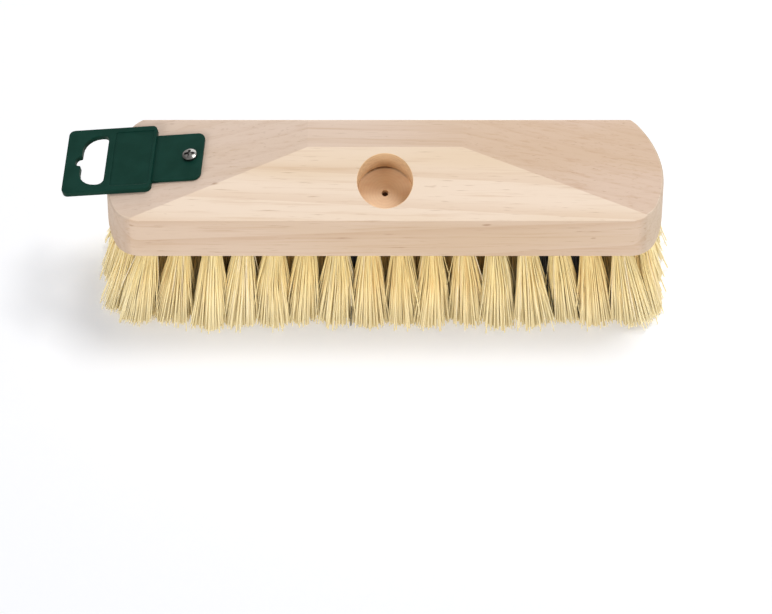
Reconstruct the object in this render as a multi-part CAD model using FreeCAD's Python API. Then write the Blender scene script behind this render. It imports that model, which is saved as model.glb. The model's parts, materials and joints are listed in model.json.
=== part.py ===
import FreeCAD, Part
import itertools
import math
import os

Vec = FreeCAD.Vector

# Wooden block: z is measured from its underside until it is lifted onto the bristles
block_length = 280.0
block_width = 67.0
side_height = 28.0
left_end_height = 26.4
right_end_height = 28.0
crown_height = 46.0
crown_length = 77.6
crown_depth = 17.5
front_slope_run = 33.5
end_radius = 52.0
end_arc_y = -5.0
corner_radius = 14.0
edge_radius = 1.2

# Handle socket in the front slope, leaning forward from upright, with the centre mark its drill leaves
socket_radius = 14.0
socket_from_ridge = 17.5
socket_lean = 22.0
socket_web = 1.8
mark_radius = 1.7
mark_depth = 5.0

# Bristle tufts in staggered rows, fanned out towards the tips
trim_length = 54.0
row_count = 7
row_margin = 10.2
tuft_pitch = 15.8
end_margin = 8.2
spread_along = 1.06
spread_across = 1.21
end_lean = 13.0
end_lean_power = 8
tuft_hole_radius = 4.25
tuft_hole_depth = 9.5
root_clearance = 0.05
tuft_gap = 0.5
straight_exit = 2.2

# Wire staple that holds the fold of each tuft
staple_wire = 0.9
staple_span = 5.4
staple_fold = 2.2
staple_bite = 3.0
staple_clearance = 0.04

# Hang tag: a thick head with the hook slot, and a thinner tongue under the screw
head_length = 46.0
head_width = 41.0
head_thickness = 3.4
head_corner = 3.0
tongue_length = 24.9
tongue_width = 30.0
tongue_thickness = 1.8
tongue_corner = 4.0
slot_length = 32.0
slot_width = 13.0
slot_lobe_radius = 8.5
slot_foot_radius = 3.4
slot_wall = 7.2
peg_radius = 3.0
peg_reach = 3.0
panel_length = 19.5
panel_width = 35.0
panel_depth = 0.5
panel_rim = 1.6
tag_turn = -4.7
tag_play = 0.1

# Cross-recess screw through the tongue
screw_inset = 42.5
screw_y = 2.0
screw_to_tongue_end = 6.5
shank_radius = 1.9
shank_clearance = 0.08
shank_depth = 13.0
point_length = 3.0
screw_seat_clearance = 0.03
screw_head_radius = 3.6
screw_head_height = 2.3
screw_dome = 0.9
recess_span = 5.2
recess_width = 1.4
recess_depth = 1.5

half_length = block_length / 2
half_width = block_width / 2
crown_front = front_slope_run - half_width
slope_rise = crown_height - side_height
front_slope = math.atan2(slope_rise, front_slope_run)
end_fall = half_length - crown_length / 2
left_end_slope = math.atan2(crown_height - left_end_height, end_fall)

anchor_points_z = tuft_hole_depth + staple_bite
socket_mouth_y = crown_front - socket_from_ridge * math.cos(front_slope)
socket_mouth_z = crown_height - socket_from_ridge * math.sin(front_slope)
socket_angle = math.radians(socket_lean)
socket_drop = socket_mouth_z - socket_radius * math.sin(socket_angle) - anchor_points_z
socket_depth = (socket_drop - socket_web) / math.cos(socket_angle)

end_arc_x = half_length - end_radius
outer_row_y = half_width - row_margin
row_pitch = 2 * outer_row_y / (row_count - 1)
root_radius = tuft_hole_radius - root_clearance

screw_x = screw_inset - half_length
seat_z = trim_length + left_end_height + screw_inset * math.tan(left_end_slope)


def prism(points, travel):
    loop = Part.makePolygon(points + points[:1])
    return Part.Face(loop).extrude(travel)


def rounded_slab(x0, x1, width, corner, thickness):
    slab = Part.makeBox(x1 - x0, width, thickness, Vec(x0, -width / 2, 0))
    uprights = [edge for edge in slab.Edges if abs(edge.tangentAt(edge.FirstParameter).z) > 0.99]
    return slab.makeFillet(corner, uprights)


# Plan of the block: straight sides, and arched ends that stand fuller in front
def plan_prism():
    front_x = end_arc_x + math.sqrt(end_radius ** 2 - (half_width + end_arc_y) ** 2)
    back_x = end_arc_x + math.sqrt(end_radius ** 2 - (half_width - end_arc_y) ** 2)
    corners = [Vec(-front_x, -half_width, 0), Vec(front_x, -half_width, 0),
               Vec(back_x, half_width, 0), Vec(-back_x, half_width, 0)]
    front = Part.makeLine(corners[0], corners[1])
    right = Part.Arc(corners[1], Vec(half_length, end_arc_y, 0), corners[2]).toShape()
    back = Part.makeLine(corners[2], corners[3])
    left = Part.Arc(corners[3], Vec(-half_length, end_arc_y, 0), corners[0]).toShape()
    solid = Part.Face(Part.Wire([front, right, back, left])).extrude(Vec(0, 0, crown_height))
    uprights = [edge for edge in solid.Edges if abs(edge.tangentAt(edge.FirstParameter).z) > 0.99]
    return solid.makeFillet(corner_radius, uprights)


# Cross-section: handle slope in front, flat crown, steeper slope behind
def section_prism():
    crown_back = crown_front + crown_depth
    section = [(-half_width, 0), (half_width, 0), (half_width, side_height),
               (crown_back, crown_height), (crown_front, crown_height), (-half_width, side_height)]
    points = [Vec(-half_length, y, z) for y, z in section]
    return prism(points, Vec(block_length, 0, 0))


# Side profile: the top falls from the crown to both ends
def profile_prism():
    profile = [(-half_length, 0), (half_length, 0), (half_length, right_end_height),
               (crown_length / 2, crown_height), (-crown_length / 2, crown_height),
               (-half_length, left_end_height)]
    points = [Vec(x, -half_width, z) for x, z in profile]
    return prism(points, Vec(0, block_width, 0))


def socket_tool():
    outward = Vec(0, -math.sin(socket_angle), math.cos(socket_angle))
    mouth = Vec(0, socket_mouth_y, socket_mouth_z)
    floor_centre = mouth - outward * socket_depth
    socket = Part.makeCylinder(socket_radius, socket_depth + socket_radius, floor_centre, outward)
    mark_end = floor_centre - outward * mark_depth
    mark = Part.makeCone(0, mark_radius, mark_radius, mark_end, outward)
    mark_shank = Part.makeCylinder(mark_radius, mark_depth, mark_end + outward * mark_radius, outward)
    return [socket, mark, mark_shank]


# Where each tuft leaves the block: (row from the front, step along the row, place)
def tuft_sites():
    sites = []
    steps = int(half_length / tuft_pitch) + 1
    middle_row = (row_count + 1) / 2
    for row in range(1, row_count + 1):
        y = (row - middle_row) * row_pitch
        shift = 0.5 * (row % 2)
        for number in range(-steps, steps + 1):
            step = number + shift
            x = step * tuft_pitch
            past_centre = max(0.0, abs(x) - end_arc_x)
            if end_radius - math.hypot(past_centre, y - end_arc_y) >= end_margin:
                sites.append((row, step, x, y))
    return sites


# The tips stand wider than the roots, and the end tufts of the inner rows lean out most
def tuft_tip(x, y):
    end_share = math.copysign(abs(x / half_length) ** end_lean_power, x) * (1 - (y / outer_row_y) ** 2)
    return Vec(x * spread_along + end_lean * end_share, y * spread_across, 0)


def tuft_placement(x, y):
    root = Vec(x, y, trim_length)
    return FreeCAD.Placement(root, FreeCAD.Rotation(Vec(0, 0, 1), root - tuft_tip(x, y)))


def widest_lean(sites):
    shifts = [tuft_tip(x, y) - Vec(x, y, 0) for row, step, x, y in sites]
    return math.atan2(max(shift.Length for shift in shifts), trim_length)


# Bundles grow until the closest two tips are a tuft_gap apart
def tip_radius(sites):
    tips = [tuft_tip(x, y) for row, step, x, y in sites]
    closest = min((first - second).Length for first, second in itertools.combinations(tips, 2))
    return closest / 2 * math.cos(widest_lean(sites)) - tuft_gap / 2


def placed(shape, placement):
    copy = shape.copy()
    copy.Placement = placement.multiply(shape.Placement)
    return copy


# U of square wire: the crown lies in the fold and the legs bite into the wood
def staple_shape(grow):
    outer = staple_span / 2 + staple_wire / 2 + grow
    inner = staple_span / 2 - staple_wire / 2 - grow
    crown_low = tuft_hole_depth - staple_fold - staple_wire - grow
    crown_high = tuft_hole_depth - staple_fold + grow
    top = anchor_points_z + grow
    thick = staple_wire + 2 * grow
    outline = [(-outer, crown_low), (outer, crown_low), (outer, top), (inner, top),
               (inner, crown_high), (-inner, crown_high), (-inner, top), (-outer, top)]
    points = [Vec(x, -thick / 2, z) for x, z in outline]
    return prism(points, Vec(0, thick, 0))


def tuft_hole_tool():
    run_out = tuft_hole_radius + straight_exit
    hole = Part.makeCylinder(tuft_hole_radius, tuft_hole_depth + run_out, Vec(0, 0, -run_out))
    return hole.fuse(staple_shape(staple_clearance))


# Bundle of fibres: a round root in the hole, then a cone out to the trimmed tips
def tuft_shape(sites):
    tip = tip_radius(sites)
    flare = (tip - root_radius) / (trim_length - straight_exit)
    reach = trim_length / math.cos(widest_lean(sites)) ** 2 + tip
    end_radius_past_trim = root_radius + flare * (reach - straight_exit)
    root_top = tuft_hole_depth - root_clearance
    outline = [(0, root_top), (root_radius, root_top), (root_radius, -straight_exit),
               (end_radius_past_trim, -reach), (0, -reach)]
    points = [Vec(r, 0, z) for r, z in outline]
    bundle = Part.Face(Part.makePolygon(points + points[:1]))
    bundle = bundle.revolve(Vec(0, 0, 0), Vec(0, 0, 1), 360)
    return bundle.cut(staple_shape(2 * staple_clearance))


# Everything below the trim plane is cut off all the tufts alike
def trim_tool():
    side = 2 * block_length
    return Part.makeBox(side, side, trim_length, Vec(-side / 2, -side / 2, -trim_length))


# The tag lies on the left end slope, turned a little about its screw
def tag_placement():
    seat = Vec(screw_x, screw_y, seat_z)
    slope = FreeCAD.Rotation(Vec(0, 1, 0), -math.degrees(left_end_slope))
    return FreeCAD.Placement(seat, slope.multiply(FreeCAD.Rotation(Vec(0, 0, 1), tag_turn)))


# Hook slot: straight foot, big round shoulders and a notch for the peg
def slot_tool(foot_x):
    slot = Part.makeBox(slot_width, slot_length, 2 * head_thickness,
                        Vec(foot_x - slot_width, -slot_length / 2, -head_thickness / 2))
    uprights = [edge for edge in slot.Edges if abs(edge.tangentAt(edge.FirstParameter).z) > 0.99]
    middle = foot_x - slot_width / 2
    shoulders = [edge for edge in uprights if edge.CenterOfMass.x < middle]
    slot = slot.makeFillet(slot_lobe_radius, shoulders)
    uprights = [edge for edge in slot.Edges if abs(edge.tangentAt(edge.FirstParameter).z) > 0.99]
    feet = [edge for edge in uprights if abs(edge.CenterOfMass.x - foot_x) < slot_foot_radius]
    slot = slot.makeFillet(slot_foot_radius, feet)
    peg_x = foot_x - slot_width - peg_reach + peg_radius
    peg = Part.makeCylinder(peg_radius, 2 * head_thickness, Vec(peg_x, 0, -head_thickness / 2))
    return slot.fuse(peg)


def tag_shape():
    tongue_end = screw_to_tongue_end
    step_x = tongue_end - tongue_length
    head_end = step_x - head_length
    panel_end = step_x - panel_rim
    foot_x = panel_end - panel_length - slot_wall / 2
    head = rounded_slab(head_end, step_x, head_width, head_corner, head_thickness)
    tongue = rounded_slab(step_x - head_length / 2, tongue_end, tongue_width, tongue_corner,
                          tongue_thickness)
    panel = Part.makeBox(panel_length, panel_width, panel_depth,
                         Vec(panel_end - panel_length, -panel_width / 2, head_thickness - panel_depth))
    hole = Part.makeCylinder(shank_radius + shank_clearance, tongue_thickness)
    tag = head.fuse(tongue).cut([slot_tool(foot_x), panel, hole]).removeSplitter()
    tag.translate(Vec(0, 0, tag_play))
    return tag


# Pan head with a cross recess, plain shank and point
def screw_shape(grow):
    radius = shank_radius + grow
    depth = shank_depth + grow
    neck = 2 * tag_play + tongue_thickness
    outline = [(0, -depth - point_length), (radius, -depth), (radius, neck),
               (screw_head_radius, neck)]
    rim_z = neck + screw_head_height - screw_dome
    top_z = neck + screw_head_height
    edges = [Part.makeLine(Vec(a[0], 0, a[1]), Vec(b[0], 0, b[1]))
             for a, b in zip(outline, outline[1:])]
    rim = Vec(screw_head_radius, 0, rim_z)
    dome_mid = Vec(screw_head_radius * 0.62, 0, top_z - screw_dome * 0.36)
    edges.append(Part.makeLine(Vec(screw_head_radius, 0, neck), rim))
    edges.append(Part.Arc(rim, dome_mid, Vec(0, 0, top_z)).toShape())
    edges.append(Part.makeLine(Vec(0, 0, top_z), Vec(0, 0, -depth - point_length)))
    solid = Part.Face(Part.Wire(edges)).revolve(Vec(0, 0, 0), Vec(0, 0, 1), 360)
    floor_z = top_z - recess_depth
    slots = []
    for length, width in ((recess_span, recess_width), (recess_width, recess_span)):
        slots.append(Part.makeBox(length, width, recess_depth + screw_dome,
                                  Vec(-length / 2, -width / 2, floor_z)))
    return solid.cut(slots)


def block_shape(sites):
    body = plan_prism().common(section_prism()).common(profile_prism()).removeSplitter()
    sharp = [edge for edge in body.Edges if abs(edge.tangentAt(edge.FirstParameter).z) < 0.99]
    body = body.makeFillet(edge_radius, sharp)
    body = body.cut(socket_tool())
    body.translate(Vec(0, 0, trim_length))
    hole = tuft_hole_tool()
    holes = [placed(hole, tuft_placement(x, y)) for row, step, x, y in sites]
    holes.append(placed(screw_shape(screw_seat_clearance), tag_placement()))
    return body.cut(holes)


# Tufts of dark fibre draw an anchor along the brush, ring to the left
anchor_groups = {
    "anchor_ring_tufts": [(4, -6), (3, -5.5), (5, -5.5), (3, -4.5), (5, -4.5), (4, -4)],
    "anchor_shank_tufts": [(4, step) for step in range(-3, 7)],
    "anchor_stock_tufts": [(2, -1), (3, -0.5), (5, 0.5), (6, 1)],
    "anchor_crown_tufts": [(4, 7), (3, 6.5), (5, 6.5)],
    "anchor_front_fluke_tufts": [(2, 5), (2, 6)],
    "anchor_back_fluke_tufts": [(6, 5), (6, 6)],
}


def tuft_group(row, step):
    for name, members in anchor_groups.items():
        if (row, step) in members:
            return name
    return "tuft_row_%d" % row


def export(name, shape):
    shape.exportStep("parts/%s.step" % name)


def main():
    os.makedirs("parts", exist_ok=True)
    sites = tuft_sites()
    export("block", block_shape(sites))

    tuft = tuft_shape(sites)
    staple = staple_shape(0)
    below_floor = trim_tool()
    tuft_nodes = {}
    staple_nodes = {}
    for row, step, x, y in sites:
        placement = tuft_placement(x, y)
        trimmed = placed(tuft, placement).cut(below_floor)
        tuft_nodes.setdefault(tuft_group(row, step), []).append(trimmed.Solids[0])
        staple_nodes.setdefault("staple_row_%d" % row, []).append(placed(staple, placement))
    for name, solids in list(tuft_nodes.items()) + list(staple_nodes.items()):
        export(name, Part.makeCompound(solids))

    export("hang_tag", placed(tag_shape(), tag_placement()))
    export("tag_screw", placed(screw_shape(0), tag_placement()))
    print("tufts", len(sites), "tip radius", round(tip_radius(sites), 2))
    print("socket depth", round(socket_depth, 2))


main()
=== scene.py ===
import json
import math
import random

import bmesh
import bpy
from mathutils import Matrix, Vector


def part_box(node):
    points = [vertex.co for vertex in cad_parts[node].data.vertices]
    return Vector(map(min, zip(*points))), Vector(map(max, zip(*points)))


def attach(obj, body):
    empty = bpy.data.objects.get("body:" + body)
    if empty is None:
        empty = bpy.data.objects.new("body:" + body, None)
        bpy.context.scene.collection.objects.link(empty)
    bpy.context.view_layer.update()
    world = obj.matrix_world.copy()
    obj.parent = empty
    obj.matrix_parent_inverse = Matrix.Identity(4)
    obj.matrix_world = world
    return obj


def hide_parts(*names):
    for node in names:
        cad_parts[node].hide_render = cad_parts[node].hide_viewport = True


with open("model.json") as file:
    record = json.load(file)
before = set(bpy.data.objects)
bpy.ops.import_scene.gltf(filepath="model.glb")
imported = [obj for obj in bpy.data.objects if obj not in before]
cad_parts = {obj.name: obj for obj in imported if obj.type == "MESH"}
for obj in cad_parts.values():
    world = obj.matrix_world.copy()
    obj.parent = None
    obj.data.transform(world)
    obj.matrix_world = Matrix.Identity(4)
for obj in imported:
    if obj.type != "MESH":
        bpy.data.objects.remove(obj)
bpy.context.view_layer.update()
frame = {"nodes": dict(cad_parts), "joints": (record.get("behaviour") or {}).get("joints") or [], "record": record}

nodes = frame["nodes"]
mounts = {mount["name"]: mount for mount in frame["record"]["mounts"]}
tagJoint = frame["joints"][0]
mm = 0.001
mergeDistance = 0.001 * mm
print("frame loaded with %d nodes" % len(nodes))


# small helpers for shader trees
def colour(red, green, blue):
    shades = []
    for channel in (red, green, blue):
        share = channel / 255
        shades.append(share / 12.92 if share <= 0.04045 else ((share + 0.055) / 1.055) ** 2.4)
    return (*shades, 1.0)


def grey(level):
    return (level, level, level, 1.0)


def newMaterial(name):
    material = bpy.data.materials.new(name)
    material.use_nodes = True
    return material, material.node_tree, material.node_tree.nodes["Principled BSDF"]


def addNode(tree, kind, **settings):
    node = tree.nodes.new("ShaderNode" + kind)
    for name, value in settings.items():
        setattr(node, name, value)
    return node


def feed(tree, socket, value):
    if isinstance(value, bpy.types.NodeSocket):
        tree.links.new(value, socket)
    else:
        socket.default_value = value


def objectPlace(tree):
    return addNode(tree, "TexCoord").outputs["Object"]


def mapped(tree, place, shift=(0, 0, 0), turn=(0, 0, 0), scale=(1, 1, 1), kind="POINT"):
    node = addNode(tree, "Mapping", vector_type=kind)
    feed(tree, node.inputs["Vector"], place)
    node.inputs["Location"].default_value = shift
    node.inputs["Rotation"].default_value = turn
    node.inputs["Scale"].default_value = scale
    return node.outputs["Vector"]


def noise(tree, place, scale, detail=2.0, roughness=0.5):
    node = addNode(tree, "TexNoise")
    feed(tree, node.inputs["Vector"], place)
    feed(tree, node.inputs["Scale"], scale)
    node.inputs["Detail"].default_value = detail
    node.inputs["Roughness"].default_value = roughness
    return node.outputs["Fac"]


# noise drawn out along the axes of the piece
def grainNoise(tree, place, stretch, detail=2.0, roughness=0.5, turn=(0, 0, 0)):
    return noise(tree, mapped(tree, place, turn=turn, scale=stretch), 1.0, detail, roughness)


def maths(tree, operation, first, second=0.0):
    node = addNode(tree, "Math", operation=operation)
    feed(tree, node.inputs[0], first)
    feed(tree, node.inputs[1], second)
    return node.outputs[0]


def times(tree, product, *others):
    for other in others:
        product = maths(tree, "MULTIPLY", product, other)
    return product


def span(tree, value, low, high, start=0.0, end=1.0):
    node = addNode(tree, "MapRange", interpolation_type="SMOOTHSTEP")
    feed(tree, node.inputs["Value"], value)
    node.inputs["From Min"].default_value = low
    node.inputs["From Max"].default_value = high
    node.inputs["To Min"].default_value = start
    node.inputs["To Max"].default_value = end
    return node.outputs["Result"]


# mask that goes from 0 to 1 between two distances from a base
def edgeMask(tree, value, base, edge):
    return span(tree, value, base + edge[0], base + edge[1])


def tint(tree, kind, amount, under, over):
    node = addNode(tree, "Mix", data_type="RGBA", blend_type=kind)
    feed(tree, node.inputs[0], amount)
    feed(tree, node.inputs[6], under)
    feed(tree, node.inputs[7], over)
    return node.outputs[2]


def split(tree, vector):
    node = addNode(tree, "SeparateXYZ")
    feed(tree, node.inputs[0], vector)
    return node.outputs["X"], node.outputs["Y"], node.outputs["Z"]


def bump(tree, shader, height, strength, distance):
    node = addNode(tree, "Bump")
    feed(tree, node.inputs["Height"], height)
    node.inputs["Strength"].default_value = strength
    node.inputs["Distance"].default_value = distance
    feed(tree, shader.inputs["Normal"], node.outputs["Normal"])


def newGroup(name, inputs, outputs):
    tree = bpy.data.node_groups.new(name, "ShaderNodeTree")
    for label, kind in inputs:
        tree.interface.new_socket(name=label, in_out="INPUT", socket_type="NodeSocket" + kind)
    for label, kind in outputs:
        tree.interface.new_socket(name=label, in_out="OUTPUT", socket_type="NodeSocket" + kind)
    return tree, tree.nodes.new("NodeGroupInput").outputs, tree.nodes.new("NodeGroupOutput").inputs


def useGroup(tree, group, **values):
    node = tree.nodes.new("ShaderNodeGroup")
    node.node_tree = group
    for label, value in values.items():
        feed(tree, node.inputs[label], value)
    return node.outputs


# bare planed wood: growth rings, long fibre streaks and short pores run along X
woodLook = {
    "pale": colour(218, 199, 180),
    "warm": colour(211, 189, 164),
    "ring": colour(190, 158, 128),
    "pore": colour(157, 123, 94),
    # the next two colours darken the level tops and the ends: partly a sawn finish, partly painted shade
    "sawnShadeLeft": (0.885, 0.85, 0.86, 1.0),
    "sawnShadeRight": (0.87, 0.80, 0.775, 1.0),
    # painted shade on the upright sides
    "side": (0.83, 0.785, 0.765, 1.0),
    "endLeft": (0.86, 0.86, 0.86, 1.0),
    "endRight": (0.93, 0.99, 1.0, 1.0),
    "leftToRight": (-0.06, 0.10),
    "pith": (0.0, -0.085, -0.020),
    "drift": (0.0, 0.008, 0.022),
    "ringStretch": (0.05, 1, 1),
    "ringScale": 46,
    "ringWaver": 5.0,
    "ringWaverScale": 0.35,
    "ringBand": (0.55, 1.0),
    "ringShare": (0.28, 0.14),
    "broadStretch": (6, 40, 40),
    "broadBand": (0.35, 0.68),
    "streakStretch": (16, 620, 620),
    "streakBand": (0.50, 0.74),
    "streakShare": 0.36,
    "poreStretch": (70, 1500, 1500),
    "poreBand": (0.62, 0.80),
    "poreShare": 0.55,
    "fleckStretch": (90, 260, 260),
    "fleckBand": (0.74, 0.82),
    "fleckShare": 0.6,
    "topFacing": (0.92, 0.97),
    "endFacing": (0.25, 0.6),
    "sideFacing": (0.75, 0.95),
    "roughBand": (0.3, 0.7),
    "roughness": (0.52, 0.72),
    "shine": 0.3,
    "sawStretch": (1400, 60, 300),
    "sawTurn": (0, 0, 0.3),
    "sawHeight": 0.8,
    "poreDip": (0.60, 0.80),
    "poreDepth": 0.8,
    "relief": 0.35,
    "reliefHeight": 0.12 * mm,
}

# drilled socket: a pale wall, a browner floor whose colour is lifted with painted light against the shade in the
# hole, a drill mark and a darker line where they meet at the back
socketLook = {
    "bored": colour(222, 190, 150),
    "boredBand": (0.40, 0.70),
    "boredShare": 0.5,
    # floor colour: partly the drilled wood's own tone, partly painted light against the shade in the hole
    "drilledAndLit": colour(255, 228, 195),
    "drilledDeep": colour(236, 192, 152),
    "blotchStretch": (120, 300, 300),
    "blotchBand": (0.35, 0.75),
    "blotchShare": 0.35,
    "turningPitch": 4200,
    "turningShare": 0.05,
    "backCornerDark": colour(120, 80, 46),
    "backCornerBand": (0.3, 0.6),
    "backCornerShare": (0.45, 0.95),
    "mark": colour(112, 76, 50),
    "wallEdge": (0.25 * mm, 0.05 * mm),
    "depthEdge": (-6.5 * mm, -6.0 * mm),
    "floorEdge": (0.7 * mm, 0.2 * mm),
    "backCornerInward": (-1.3 * mm, -0.2 * mm),
    "backCornerUpward": (1.2 * mm, 0.2 * mm),
    "backCornerBackward": (6.0 * mm, 13.6 * mm),
    "markEdge": (1.75 * mm, 1.45 * mm),
    "markDip": (0.1 * mm, -0.6 * mm),
}


def socketShade(tree, place, streak):
    socket = mounts["handle_socket"]
    lean = math.atan2(-socket["axis"][1], socket["axis"][2])
    drill = mapped(tree, objectPlace(tree), socket["pos_m"], (lean, 0, 0), kind="TEXTURE")
    drillX, drillY, drillZ = split(tree, drill)
    squares = maths(tree, "ADD", times(tree, drillX, drillX), times(tree, drillY, drillY))
    reach = maths(tree, "SQRT", squares)
    radius = socket["dims"]["r_mm"] * mm
    foot = -socket["dims"]["length_mm"] * mm / 2
    inside = times(tree, edgeMask(tree, reach, radius, socketLook["wallEdge"]),
                   edgeMask(tree, drillZ, foot, socketLook["depthEdge"]))

    worn = span(tree, streak, *socketLook["boredBand"], 0.0, socketLook["boredShare"])
    bored = tint(tree, "MIX", worn, socketLook["bored"], woodLook["ring"])
    turning = maths(tree, "SINE", times(tree, reach, socketLook["turningPitch"]))
    turned = span(tree, turning, -1.0, 1.0, 0.0, socketLook["turningShare"])
    # the floor's pale colour is partly the drilled wood's own tone, partly painted light against the shade in the
    # hole
    drilledAndLit = tint(tree, "MIX", turned, socketLook["drilledAndLit"], woodLook["pore"])
    blotch = grainNoise(tree, place, socketLook["blotchStretch"], 3.0, 0.6)
    stained = span(tree, blotch, *socketLook["blotchBand"], 0.0, socketLook["blotchShare"])
    drilledAndLit = tint(tree, "MIX", stained, drilledAndLit, socketLook["drilledDeep"])
    hollow = tint(tree, "MIX", edgeMask(tree, drillZ, foot, socketLook["floorEdge"]), bored, drilledAndLit)

    # a darker line in the corner between floor and wall, on the back side only
    backCornerDarkening = times(tree, edgeMask(tree, reach, radius, socketLook["backCornerInward"]),
                   edgeMask(tree, drillZ, foot, socketLook["backCornerUpward"]),
                   edgeMask(tree, drillY, 0, socketLook["backCornerBackward"]),
                   span(tree, blotch, *socketLook["backCornerBand"], *socketLook["backCornerShare"]))
    hollow = tint(tree, "MIX", backCornerDarkening, hollow, socketLook["backCornerDark"])
    # the drill's pilot hole in the middle of the floor is painted darker
    marked = times(tree, edgeMask(tree, reach, 0, socketLook["markEdge"]),
                   edgeMask(tree, drillZ, foot, socketLook["markDip"]))
    hollow = tint(tree, "MIX", marked, hollow, socketLook["mark"])
    return inside, hollow


def makeWood():
    material, tree, shader = newMaterial("plainWood")
    place = mapped(tree, objectPlace(tree), woodLook["pith"], woodLook["drift"])
    rings = addNode(tree, "TexWave", wave_type="RINGS", rings_direction="X", wave_profile="SAW")
    feed(tree, rings.inputs["Vector"], mapped(tree, place, scale=woodLook["ringStretch"]))
    rings.inputs["Scale"].default_value = woodLook["ringScale"]
    rings.inputs["Distortion"].default_value = woodLook["ringWaver"]
    rings.inputs["Detail"].default_value = 2.0
    rings.inputs["Detail Scale"].default_value = woodLook["ringWaverScale"]
    ringLine = span(tree, rings.outputs["Fac"], *woodLook["ringBand"])
    broad = grainNoise(tree, place, woodLook["broadStretch"])
    streak = grainNoise(tree, place, woodLook["streakStretch"], 3.0, 0.6)
    pore = grainNoise(tree, place, woodLook["poreStretch"])
    fleck = grainNoise(tree, place, woodLook["fleckStretch"], 1.0)

    # the level and sloping tops and the ends are painted darker than the planed slope: partly a sawn finish,
    # partly painted shade
    sideways, across, upward = split(tree, addNode(tree, "TexCoord").outputs["Normal"])
    sawnShadedTop = span(tree, upward, *woodLook["topFacing"])
    sawnEnd = span(tree, maths(tree, "ABSOLUTE", sideways), *woodLook["endFacing"])
    sawnAndShaded = maths(tree, "MAXIMUM", sawnShadedTop, sawnEnd)
    # the upright sides are painted darker: painted shade
    upright = span(tree, maths(tree, "ABSOLUTE", across), *woodLook["sideFacing"])

    shade = tint(tree, "MIX", span(tree, broad, *woodLook["broadBand"]), woodLook["pale"], woodLook["warm"])
    ringShare = times(tree, ringLine, span(tree, sawnAndShaded, 0.0, 1.0, *woodLook["ringShare"]))
    shade = tint(tree, "MIX", ringShare, shade, woodLook["ring"])
    stains = [("streak", streak, "ring"), ("pore", pore, "pore"), ("fleck", fleck, "pore")]
    for name, pattern, stain in stains:
        share = span(tree, pattern, *woodLook[name + "Band"], 0.0, woodLook[name + "Share"])
        shade = tint(tree, "MIX", share, shade, woodLook[stain])

    alongBlock = split(tree, objectPlace(tree))[0]
    rightward = span(tree, alongBlock, *woodLook["leftToRight"])
    # painted shade on the tops and ends, together with their sawn finish
    sawnAndShadeTint = tint(tree, "MIX", rightward, woodLook["sawnShadeLeft"], woodLook["sawnShadeRight"])
    shade = tint(tree, "MULTIPLY", sawnAndShaded, shade, sawnAndShadeTint)
    # painted shade on the upright front and back sides
    shade = tint(tree, "MULTIPLY", upright, shade, woodLook["side"])
    endGrain = tint(tree, "MIX", rightward, woodLook["endLeft"], woodLook["endRight"])
    shade = tint(tree, "MULTIPLY", sawnEnd, shade, endGrain)
    inside, hollow = socketShade(tree, place, streak)
    feed(tree, shader.inputs["Base Color"], tint(tree, "MIX", inside, shade, hollow))

    rough = span(tree, streak, *woodLook["roughBand"], *woodLook["roughness"])
    feed(tree, shader.inputs["Roughness"], rough)
    shader.inputs["Specular IOR Level"].default_value = woodLook["shine"]
    sawMark = grainNoise(tree, place, woodLook["sawStretch"], turn=woodLook["sawTurn"])
    relief = maths(tree, "ADD", streak, times(tree, sawMark, sawnAndShaded, woodLook["sawHeight"]))
    dip = span(tree, pore, *woodLook["poreDip"], 0.0, woodLook["poreDepth"])
    relief = maths(tree, "SUBTRACT", relief, dip)
    bump(tree, shader, relief, woodLook["relief"], woodLook["reliefHeight"])
    return material


# fibre shade from two attributes: strand holds the fibre's tone, its way from root to tip and its tinge,
# and the second attribute is 1 on tufts that stand behind others, whose roots get a painted shade
strandLook = {
    "grainStretch": (900, 900, 60),
    "grainBand": (0.3, 0.7),
    "grainTone": (-0.09, 0.09),
    "tingeBand": (0.92, 0.98),
    "tingeShare": 0.7,
    "rootBand": (0.80, 0.05),
    "innerShadeBand": (0.85, 0.30),
    "tipBand": (0.35, 1.0),
    "tipShare": 0.7,
    "roughness": (0.45, 0.65),
    "relief": 0.2,
    "reliefHeight": 0.05 * mm,
}


def makeStrandShade():
    group, given, result = newGroup(
        "strandShade",
        [(label, "Color") for label in ("Deep", "Middle", "Bright", "Tinge", "Root", "InnerShade", "Tip")],
        [("Color", "Color"), ("Roughness", "Float"), ("Height", "Float")])
    strand = addNode(group, "Attribute", attribute_name="strand").outputs["Vector"]
    tone, along, tinge = split(group, strand)
    innerShade = addNode(group, "Attribute", attribute_name="innerShade").outputs["Fac"]
    grain = grainNoise(group, objectPlace(group), strandLook["grainStretch"])
    grainTone = span(group, grain, *strandLook["grainBand"], *strandLook["grainTone"])
    tone = maths(group, "ADD", tone, grainTone)
    shade = tint(group, "MIX", span(group, tone, 0.0, 0.5), given["Deep"], given["Middle"])
    shade = tint(group, "MIX", span(group, tone, 0.5, 1.0), shade, given["Bright"])
    tinged = span(group, tinge, *strandLook["tingeBand"], 0.0, strandLook["tingeShare"])
    shade = tint(group, "MIX", tinged, shade, given["Tinge"])
    # darker roots: partly the fibre's own tone, partly painted shade under the block
    shade = tint(group, "MULTIPLY", span(group, along, *strandLook["rootBand"]), shade, given["Root"])
    # tufts that stand behind others get a painted shade at their roots
    innerShadeShare = times(group, innerShade, span(group, along, *strandLook["innerShadeBand"]))
    shade = tint(group, "MULTIPLY", innerShadeShare, shade, given["InnerShade"])
    # paler tips: partly the fibre's own tone, partly painted light on the lower bristles
    tipped = span(group, along, *strandLook["tipBand"], 0.0, strandLook["tipShare"])
    shade = tint(group, "MIX", tipped, shade, given["Tip"])
    feed(group, result["Color"], shade)
    rough = span(group, grain, *strandLook["grainBand"], *strandLook["roughness"])
    feed(group, result["Roughness"], rough)
    feed(group, result["Height"], grain)
    return group


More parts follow.
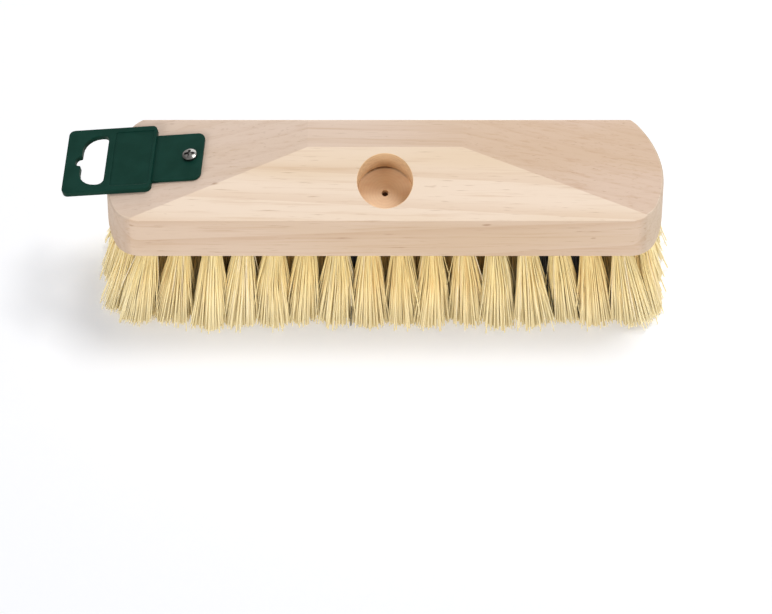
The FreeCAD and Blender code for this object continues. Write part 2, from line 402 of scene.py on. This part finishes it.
def makeFibre(name, group, tones, shine):
    material, tree, shader = newMaterial(name)
    strand = useGroup(tree, group, **tones)
    feed(tree, shader.inputs["Base Color"], strand["Color"])
    feed(tree, shader.inputs["Roughness"], strand["Roughness"])
    shader.inputs["Specular IOR Level"].default_value = shine
    bump(tree, shader, strand["Height"], strandLook["relief"], strandLook["reliefHeight"])
    return material


# small scratches and rubbed patches that the moulded and metal pieces share
rubbingLook = {
    "patchScale": 90.0,
    "patchBand": (0.35, 0.65),
    "scratchStretch": (60, 3000, 900),
    "scratchTurn": (0, 0, 0.7),
    "scratchBand": (0.66, 0.74),
    "scratchRough": 0.08,
    "reliefHeight": 0.05 * mm,
}


def makeRubbing():
    group, given, result = newGroup(
        "rubbing",
        [("Grain", "Float"), ("Smooth", "Float"), ("Rubbed", "Float")],
        [("Roughness", "Float"), ("Patch", "Float"), ("Height", "Float")])
    place = objectPlace(group)
    patch = span(group, noise(group, place, rubbingLook["patchScale"], 3.0, 0.6), *rubbingLook["patchBand"])
    pebble = noise(group, place, given["Grain"])
    scratch = grainNoise(group, place, rubbingLook["scratchStretch"], 1.0, turn=rubbingLook["scratchTurn"])
    scratched = span(group, scratch, *rubbingLook["scratchBand"])
    blend = addNode(group, "Mix", data_type="FLOAT")
    feed(group, blend.inputs[0], patch)
    feed(group, blend.inputs[2], given["Smooth"])
    feed(group, blend.inputs[3], given["Rubbed"])
    rougher = times(group, scratched, rubbingLook["scratchRough"])
    feed(group, result["Roughness"], maths(group, "ADD", blend.outputs[0], rougher))
    feed(group, result["Patch"], patch)
    feed(group, result["Height"], maths(group, "SUBTRACT", pebble, scratched))
    return group


tagLook = {
    "deep": colour(10, 47, 38),
    "light": colour(13, 51, 42),
    "grain": 2600.0,
    "smooth": 0.34,
    "rubbed": 0.46,
    "metal": 0.0,
    "shine": 0.06,
    "relief": 0.18,
}
screwLook = {
    "deep": colour(74, 72, 69),
    "light": colour(138, 136, 133),
    "grain": 3000.0,
    "smooth": 0.16,
    "rubbed": 0.26,
    "metal": 1.0,
    "shine": 0.5,
    "relief": 0.12,
}
stapleLook = {
    "deep": colour(104, 103, 102),
    "light": colour(160, 159, 157),
    "grain": 4000.0,
    "smooth": 0.32,
    "rubbed": 0.5,
    "metal": 1.0,
    "shine": 0.5,
    "relief": 0.2,
}


def makeRubbed(name, group, look):
    material, tree, shader = newMaterial(name)
    rub = useGroup(tree, group, Grain=look["grain"], Smooth=look["smooth"], Rubbed=look["rubbed"])
    feed(tree, shader.inputs["Base Color"], tint(tree, "MIX", rub["Patch"], look["deep"], look["light"]))
    feed(tree, shader.inputs["Roughness"], rub["Roughness"])
    shader.inputs["Metallic"].default_value = look["metal"]
    shader.inputs["Specular IOR Level"].default_value = look["shine"]
    bump(tree, shader, rub["Height"], look["relief"], rubbingLook["reliefHeight"])
    return material


wood = makeWood()
strandShade = makeStrandShade()
strawTones = {
    "Deep": colour(240, 206, 141),
    "Middle": colour(250, 229, 171),
    "Bright": colour(254, 241, 202),
    "Tinge": colour(252, 240, 222),
    # darker roots: partly the fibre's own tone, partly painted shade under the block
    "Root": (0.87, 0.85, 0.76, 1.0),
    # painted shade at the roots of tufts behind others
    "InnerShade": (0.40, 0.32, 0.19, 1.0),
    # paler tips: partly the fibre's own tone, partly painted light on the lower bristles
    "Tip": colour(255, 243, 203),
}
blackTones = {
    "Deep": colour(18, 17, 18),
    "Middle": colour(30, 29, 30),
    "Bright": colour(58, 54, 52),
    "Tinge": colour(92, 84, 74),
    # as for straw: darker roots partly own tone and partly painted shade, painted shade behind others, tips partly
    # painted light
    "Root": (0.9, 0.9, 0.9, 1.0),
    "InnerShade": (0.8, 0.8, 0.8, 1.0),
    "Tip": colour(40, 38, 38),
}
strawFibre = makeFibre("strawFibre", strandShade, strawTones, shine=0.35)
blackFibre = makeFibre("blackFibre", strandShade, blackTones, shine=0.45)
rubbing = makeRubbing()
tagPlastic = makeRubbed("greenTagPlastic", rubbing, tagLook)
screwMetal = makeRubbed("platedScrew", rubbing, screwLook)
stapleMetal = makeRubbed("stapleWire", rubbing, stapleLook)
print("materials ready")


# carried-over solids keep their shape and get their finish
def refinish(name, material):
    for slot in nodes[name].material_slots:
        slot.material = material


refinish("block", wood)
refinish("tag_screw", screwMetal)
stapleRows = [name for name in nodes if name.startswith("staple_row_")]
for name in stapleRows:
    refinish(name, stapleMetal)
print("block, screw and %d staple rows finished" % len(stapleRows))


# bristles: every tuft is a bunch of separate fibres that fans out from its hole
bristles = {
    "fibresPerTuft": 560,
    "fibreRadius": 0.325 * mm,
    "thickness": (0.75, 1.2),
    "rootRadius": 3.9 * mm,
    "turnPlay": 0.3,
    "fanPlay": (0.86, 1.12),
    "fanAlong": 10.0 * mm,
    "fanAcross": 8.0 * mm,
    "tuftLean": 1.5 * mm,
    "tuftSweep": 1.6 * mm,
    "tuftSpread": 0.14,
    "leftReach": 140.0 * mm,
    "rightReach": 138.0 * mm,
    "sideReach": 39.5 * mm,
    "hold": 0.6,
    "scatter": 1.0 * mm,
    "bend": 1.6 * mm,
    "uneven": 1.3 * mm,
    "clear": 0.25 * mm,
    "shortShare": 0.07,
    "shortBy": 9.0 * mm,
    "strayShare": {"pale": 0.04, "dark": 0.12},
    "strayBy": {"pale": 5.5 * mm, "dark": 8.0 * mm},
    "strayPlay": (0.2, 1.0),
    "middleTone": 0.5,
    "tuftToneSpread": 0.08,
    "fibreToneSpread": 0.13,
    "rootsAbove": 1.0 * mm,
    "tipsBelow": 0.5 * mm,
    "outerRows": ("tuft_row_1", "tuft_row_7"),
    "seed": 41,
}
goldenTurn = math.pi * (3 - math.sqrt(5))
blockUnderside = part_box("block")[0].z
fibreStops = (-0.05, 0.45, 1.0)  # shares of the length outside the hole


# middle of each tuft of a node where it leaves the wood, and at its tips
def tuftAxes(node):
    bm = bmesh.new()
    bm.from_mesh(node.data)
    bmesh.ops.remove_doubles(bm, verts=bm.verts, dist=mergeDistance)
    bm.verts.index_update()
    seen = [False] * len(bm.verts)
    axes = []
    for first in bm.verts:
        if seen[first.index]:
            continue
        seen[first.index] = True
        tuft = [first]
        for vert in tuft:  # the list grows as neighbours are found
            for edge in vert.link_edges:
                other = edge.other_vert(vert)
                if not seen[other.index]:
                    seen[other.index] = True
                    tuft.append(other)
        roots = [vert.co for vert in tuft if vert.co.z > blockUnderside + bristles["rootsAbove"]]
        tips = [vert.co for vert in tuft if vert.co.z < bristles["tipsBelow"]]
        root = sum(roots, Vector()) / len(roots)
        tip = sum(tips, Vector()) / len(tips)
        mouth = tip.lerp(root, (blockUnderside - tip.z) / (root.z - tip.z))
        axes.append((mouth, tip))
    bm.free()
    return sorted(axes, key=lambda ends: (round(ends[0].x, 5), round(ends[0].y, 5)))


# fibres that splay far past the block are drawn back towards it
def heldBack(place, reach):
    past = max(0, abs(place) - reach)
    return math.copysign(past * bristles["hold"], place)


def shiftDraw(draw, size):
    return Vector((draw.gauss(0, 1), draw.gauss(0, 1), 0)) * size


def fibrePath(draw, count, mouth, tip, habit):
    ring = math.sqrt((count + 0.5) / bristles["fibresPerTuft"])
    turn = count * goldenTurn + draw.uniform(-bristles["turnPlay"], bristles["turnPlay"])
    outward = Vector((math.cos(turn), math.sin(turn), 0))
    rootPlace = outward * ring * bristles["rootRadius"]
    fan = ring * habit["spread"] * draw.uniform(*bristles["fanPlay"])
    tipPlace = Vector((outward.x * fan * bristles["fanAlong"], outward.y * fan * bristles["fanAcross"], 0))
    tipPlace += shiftDraw(draw, bristles["scatter"])
    tipPlace.x -= heldBack(tip.x + tipPlace.x, bristles["leftReach" if tip.x < 0 else "rightReach"])
    if draw.random() < bristles["strayShare"][habit["kind"]]:
        tipPlace += outward * draw.uniform(*bristles["strayPlay"]) * bristles["strayBy"][habit["kind"]]
    tipPlace.y -= heldBack(tip.y + tipPlace.y, bristles["sideReach"])
    bow = habit["sweep"] + shiftDraw(draw, bristles["bend"])
    cut = bristles["clear"] + habit["trim"] + abs(draw.gauss(0, 1)) * bristles["uneven"]
    if draw.random() < bristles["shortShare"]:
        cut += draw.random() * bristles["shortBy"]
    length = 1 - cut / blockUnderside
    points = []
    for stop in fibreStops:
        share = stop * length
        point = mouth.lerp(tip, share) + rootPlace.lerp(tipPlace, share)
        points.append(point + bow * share * (1 - share))
    return points


def bunchFibres(name, axes, draw, kind, outerRow):
    curve = bpy.data.curves.new(name, "CURVE")
    curve.dimensions = "3D"
    curve.bevel_depth = bristles["fibreRadius"]
    curve.bevel_resolution = 0
    curve.use_fill_caps = False
    strands = []
    for place, (mouth, tip) in enumerate(axes):
        # tufts inside the field, behind the outer rows, get painted shade at their roots
        shadedInside = not outerRow and 0 < place < len(axes) - 1
        lean = shiftDraw(draw, bristles["tuftLean"])
        habit = {
            "kind": kind,
            "trim": draw.uniform(0, 1) * bristles["uneven"],
            "spread": 1 + draw.uniform(-1, 1) * bristles["tuftSpread"],
            "sweep": shiftDraw(draw, bristles["tuftSweep"]),
        }
        tuftTone = draw.gauss(bristles["middleTone"], bristles["tuftToneSpread"])
        for count in range(bristles["fibresPerTuft"]):
            points = fibrePath(draw, count, mouth, tip + lean, habit)
            thick = draw.uniform(*bristles["thickness"])
            spline = curve.splines.new("POLY")
            spline.points.add(len(points) - 1)
            for knot, point in zip(spline.points, points):
                knot.co = (*point, 1)
                knot.radius = thick
            tone = draw.gauss(tuftTone, bristles["fibreToneSpread"])
            strands.append((tone, draw.random(), float(shadedInside)))
    return curve, strands


def fibreMesh(name, curve, strands):
    holder = bpy.data.objects.new(name + "Curve", curve)
    bpy.context.scene.collection.objects.link(holder)
    shown = holder.evaluated_get(bpy.context.evaluated_depsgraph_get())
    mesh = bpy.data.meshes.new_from_object(shown)
    bpy.data.objects.remove(holder)
    bpy.data.curves.remove(curve)
    around = len(mesh.vertices) // (len(strands) * len(fibreStops))
    shades = []
    innerShades = []
    for tone, tinge, innerShade in strands:
        for stop in fibreStops:
            shades.extend((tone, stop, tinge) * around)
            innerShades.extend([innerShade] * around)
    mesh.attributes.new("strand", "FLOAT_VECTOR", "POINT").data.foreach_set("vector", shades)
    mesh.attributes.new("innerShade", "FLOAT", "POINT").data.foreach_set("value", innerShades)
    bm = bmesh.new()
    bm.from_mesh(mesh)
    bmesh.ops.holes_fill(bm, edges=bm.edges, sides=around)
    bmesh.ops.recalc_face_normals(bm, faces=bm.faces)
    bm.to_mesh(mesh)
    bm.free()
    mesh.shade_smooth()
    mesh.name = name
    return mesh


def addPiece(name, mesh, material, body, slot, *replaced):
    mesh.materials.clear()
    mesh.materials.append(material)
    piece = bpy.data.objects.new(name, mesh)
    bpy.context.scene.collection.objects.link(piece)
    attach(piece, body)
    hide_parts(*replaced)
    return piece


fibreFinish = {"pale": (strawFibre, "light_fibre"), "dark": (blackFibre, "dark_fibre")}
tuftNodes = sorted(name for name in nodes if "tuft" in name)
for order, name in enumerate(tuftNodes):
    draw = random.Random(bristles["seed"] + order)
    kind = "pale" if name.startswith("tuft_row_") else "dark"
    outerRow = name in bristles["outerRows"]
    curve, strands = bunchFibres(name + "_fibres", tuftAxes(nodes[name]), draw, kind, outerRow)
    mesh = fibreMesh(name + "_fibres", curve, strands)
    material, slot = fibreFinish[kind]
    addPiece(name + "_fibres", mesh, material, "brush", slot, name)
    print("%s: %d fibres, %d faces" % (name, len(strands), len(mesh.polygons)))


# hang tag: one moulding, thick at the slotted head and thin at the screwed tongue
tagShape = {
    "turn": -4.7,
    "play": 0.1 * mm,
    "tongueEnd": 6.5 * mm,
    "step": -18.4 * mm,
    "headEnd": -64.4 * mm,
    "headWidth": 41.0 * mm,
    "tongueWidth": 30.0 * mm,
    "headCorner": 3.0 * mm,
    "tongueCorner": 4.0 * mm,
    "tongueThick": 1.8 * mm,
    "headThick": 3.4 * mm,
    "panelDepth": 0.5 * mm,
    "panelFrom": -39.5 * mm,
    "panelTo": -20.0 * mm,
    "panelWidth": 35.0 * mm,
    "panelCorner": 0.9 * mm,
    "slotFoot": -43.1 * mm,
    "slotWidth": 13.0 * mm,
    "slotLength": 32.0 * mm,
    "slotShoulder": 8.5 * mm,
    "slotFootCorner": 3.4 * mm,
    "notch": 3.0 * mm,
    "notchLip": 0.8 * mm,
    "notchRound": 0.98,
    "screwHole": 1.98 * mm,
    "holeSteps": 24,
    "arcSteps": 6,
    "edge": 0.4 * mm,
    "edgeSteps": 3,
    "flatAngle": math.radians(2),
    "edgeAngle": math.radians(40),
    "sharpAngle": math.radians(32),
}


def roundedLoop(bm, corners):
    kept = set(bm.edges)
    verts = [bm.verts.new((x, y, 0)) for x, y, radius in corners]
    for first, second in zip(verts, verts[1:] + verts[:1]):
        bm.edges.new((first, second))
    radii = [radius for x, y, radius in corners]
    for radius in sorted(set(radii) - {0}):
        chosen = [vert for vert, own in zip(verts, radii) if own == radius]
        bmesh.ops.bevel(bm, geom=chosen, offset=radius, offset_type="OFFSET", segments=tagShape["arcSteps"],
                        profile=0.5, affect="VERTICES", material=-1)
    return [edge for edge in bm.edges if edge not in kept]


def rectangle(left, right, width, leftCorner, rightCorner):
    half = width / 2
    return [(left, -half, leftCorner), (right, -half, rightCorner),
            (right, half, rightCorner), (left, half, leftCorner)]


def slotOutline():
    foot = tagShape["slotFoot"]
    left = foot - tagShape["slotWidth"]
    half = tagShape["slotLength"] / 2
    notch = tagShape["notch"]
    tip = left - notch
    lip = tagShape["notchLip"]
    lower = [(left, -notch, lip), (left, -half, tagShape["slotShoulder"]),
             (foot, -half, tagShape["slotFootCorner"])]
    upper = [(x, -y, radius) for x, y, radius in reversed(lower)]
    arc = notch * tagShape["notchRound"]
    return lower + upper + [(tip, notch, arc), (tip, -notch, arc)]


def raiseFaces(bm, faces, height, keepBase=False):
    grown = bmesh.ops.extrude_face_region(bm, geom=faces)["geom"]
    verts = [item for item in grown if isinstance(item, bmesh.types.BMVert)]
    bmesh.ops.translate(bm, vec=(0, 0, height), verts=verts)
    if not keepBase:
        bmesh.ops.delete(bm, geom=faces, context="FACES")
    return [item for item in grown if isinstance(item, bmesh.types.BMFace)]


def placeKey(point):
    return tuple(round(share, 8) for share in point)


def edgeKey(edge):
    return sorted(placeKey(vert.co) for vert in edge.verts)


def tagMoulding():
    bm = bmesh.new()
    step = tagShape["step"]
    corner = tagShape["headCorner"]
    half = tagShape["tongueWidth"] / 2
    outline = rectangle(tagShape["headEnd"], step, tagShape["headWidth"], corner, corner)
    outline[2:2] = [(step, -half, 0), (step, half, 0)]
    headEdges = roundedLoop(bm, outline)
    slotEdges = roundedLoop(bm, slotOutline())
    panelCorner = tagShape["panelCorner"]
    panelEdges = roundedLoop(bm, rectangle(tagShape["panelFrom"], tagShape["panelTo"], tagShape["panelWidth"],
                                           panelCorner, panelCorner))
    bmesh.ops.triangle_fill(bm, edges=headEdges + slotEdges + panelEdges, use_beauty=True)
    bmesh.ops.triangle_fill(bm, edges=panelEdges, use_beauty=True)
    tongueEdges = roundedLoop(bm, rectangle(step, tagShape["tongueEnd"], tagShape["tongueWidth"],
                                            0, tagShape["tongueCorner"]))
    hole = bmesh.ops.create_circle(bm, segments=tagShape["holeSteps"], radius=tagShape["screwHole"])["verts"]
    holeEdges = sorted({edge for vert in hole for edge in vert.link_edges}, key=edgeKey)
    bmesh.ops.triangle_fill(bm, edges=tongueEdges + holeEdges, use_beauty=True)
    bmesh.ops.remove_doubles(bm, verts=bm.verts, dist=mergeDistance)

    panelHalf = tagShape["panelWidth"] / 2
    top = raiseFaces(bm, bm.faces[:], tagShape["tongueThick"], keepBase=True)
    head = [face for face in top if face.calc_center_median().x < step]
    floorHeight = tagShape["headThick"] - tagShape["panelDepth"]
    head = raiseFaces(bm, head, floorHeight - tagShape["tongueThick"])
    rim = []
    for face in head:
        middle = face.calc_center_median()
        inPanel = tagShape["panelFrom"] < middle.x < tagShape["panelTo"] and abs(middle.y) < panelHalf
        if not inPanel:
            rim.append(face)
    raiseFaces(bm, rim, tagShape["panelDepth"])
    bmesh.ops.recalc_face_normals(bm, faces=bm.faces)

    # a fixed order, so that the flat faces are joined the same way in every run
    corners = sorted(bm.verts, key=lambda vert: placeKey(vert.co))
    joins = sorted(bm.edges, key=edgeKey)
    bmesh.ops.dissolve_limit(bm, angle_limit=tagShape["flatAngle"], verts=corners, edges=joins)
    folded = [edge for edge in bm.edges if edge.is_manifold]
    sharp = [edge for edge in folded if edge.calc_face_angle_signed() > tagShape["edgeAngle"]]
    bmesh.ops.bevel(bm, geom=sharp, offset=tagShape["edge"], offset_type="OFFSET",
                    segments=tagShape["edgeSteps"], profile=0.5, affect="EDGES", material=-1)
    seat = Vector(tagJoint["pos_m"])
    upright = Vector(tagJoint["axis"])
    slope = Vector((0, 0, 1)).rotation_difference(upright).to_matrix().to_4x4()
    turned = Matrix.Rotation(math.radians(tagShape["turn"]), 4, "Z")
    lifted = Matrix.Translation(seat + upright * tagShape["play"])
    bmesh.ops.transform(bm, verts=bm.verts, matrix=lifted @ slope @ turned)
    bmesh.ops.recalc_face_normals(bm, faces=bm.faces)
    ranked = sorted(bm.faces, key=lambda face: placeKey(face.calc_center_median()))
    for rank, face in enumerate(ranked):
        face.index = rank
    bm.faces.sort()
    mesh = bpy.data.meshes.new("hang_tag_moulding")
    bm.to_mesh(mesh)
    bm.free()
    mesh.shade_smooth()
    mesh.set_sharp_from_angle(angle=tagShape["sharpAngle"])
    return mesh


tagMesh = tagMoulding()
hangTag = addPiece("hang_tag_moulding", tagMesh, tagPlastic, "tag", "tag_plastic", "hang_tag")
evenShading = hangTag.modifiers.new("evenShading", "WEIGHTED_NORMAL")
evenShading.keep_sharp = True
print("tag moulded, %d faces" % len(tagMesh.polygons))


# white floor, soft light and the camera
studio = {
    "floorHalf": 6.0,
    "floorWhite": 0.85,
    "floorGlow": (0.36, 0.37, 0.40, 1.0),
    "floorBounce": (0.42, 0.39, 0.34, 1.0),
    "fill": 0.30,
    "keyPlace": (0.48, 0.44, 2.2),
    "keySize": 0.7,
    "keyPower": 26.0,
    "leftPlace": (-1.5, -1.5, 0.75),
    "leftSize": 1.0,
    "leftPower": 23.5,
    "rightPlace": (1.5, -1.5, 0.75),
    "rightSize": 1.0,
    "rightPower": 23.5,
    "backPlace": (0.0, 1.8, 0.7),
    "backSize": 1.2,
    "backPower": 13.0,
    "cameraDistance": 3.0,
    "cameraHeightAngle": 50.77,
    "cameraAim": (0.00049, -0.02194, 0.0),
    "cameraLens": 273.6,
    "cameraSensor": 36.0,
    "cameraFar": 50.0,
}


def makeFloor():
    bm = bmesh.new()
    bmesh.ops.create_grid(bm, x_segments=1, y_segments=1, size=studio["floorHalf"])
    mesh = bpy.data.meshes.new("studioFloor")
    bm.to_mesh(mesh)
    bm.free()
    material, tree, shader = newMaterial("whiteFloor")
    shader.inputs["Base Color"].default_value = grey(studio["floorWhite"])
    shader.inputs["Roughness"].default_value = 1.0
    shader.inputs["Specular IOR Level"].default_value = 0.0
    seen = addNode(tree, "LightPath").outputs["Is Camera Ray"]
    glow = tint(tree, "MIX", seen, studio["floorBounce"], studio["floorGlow"])
    feed(tree, shader.inputs["Emission Color"], glow)
    shader.inputs["Emission Strength"].default_value = 1.0
    mesh.materials.append(material)
    floor = bpy.data.objects.new("studioFloor", mesh)
    bpy.context.scene.collection.objects.link(floor)
    return floor


def makeSoftbox(name):
    lamp = bpy.data.lights.new(name + "Softbox", "AREA")
    lamp.size = studio[name + "Size"]
    lamp.energy = studio[name + "Power"]
    softbox = bpy.data.objects.new(name + "Softbox", lamp)
    softbox.location = studio[name + "Place"]
    softbox.rotation_euler = (-softbox.location).to_track_quat("-Z", "Y").to_euler()
    bpy.context.scene.collection.objects.link(softbox)
    return softbox


# the low lights leave the floor out, so only the key light casts a shadow there
def keepOff(floor, softboxes):
    spared = bpy.data.collections.new("spared")
    spared.objects.link(floor)
    spared.collection_objects[0].light_linking.link_state = "EXCLUDE"
    for softbox in softboxes:
        softbox.light_linking.receiver_collection = spared


def makeTent():
    world = bpy.data.worlds.new("whiteTent")
    world.use_nodes = True
    tree = world.node_tree
    background = tree.nodes["Background"]
    path = addNode(tree, "LightPath")
    looking = maths(tree, "MAXIMUM", path.outputs["Is Camera Ray"], path.outputs["Is Glossy Ray"])
    tent = tint(tree, "MIX", looking, grey(studio["fill"]), grey(1.0))
    feed(tree, background.inputs["Color"], tent)
    bpy.context.scene.world = world


def makeCamera():
    lens = bpy.data.cameras.new("photoCamera")
    lens.sensor_width = studio["cameraSensor"]
    lens.lens = studio["cameraLens"]
    lens.clip_end = studio["cameraFar"]
    camera = bpy.data.objects.new("photoCamera", lens)
    angle = math.radians(studio["cameraHeightAngle"])
    back = Vector((0, -math.cos(angle), math.sin(angle))) * studio["cameraDistance"]
    camera.location = Vector(studio["cameraAim"]) + back
    camera.rotation_euler = (-back).to_track_quat("-Z", "Y").to_euler()
    bpy.context.scene.collection.objects.link(camera)
    bpy.context.scene.camera = camera


floor = makeFloor()
makeSoftbox("key")
keepOff(floor, [makeSoftbox("left"), makeSoftbox("right"), makeSoftbox("back")])
makeTent()
makeCamera()
bpy.context.scene.view_settings.view_transform = "Standard"
print("studio set")
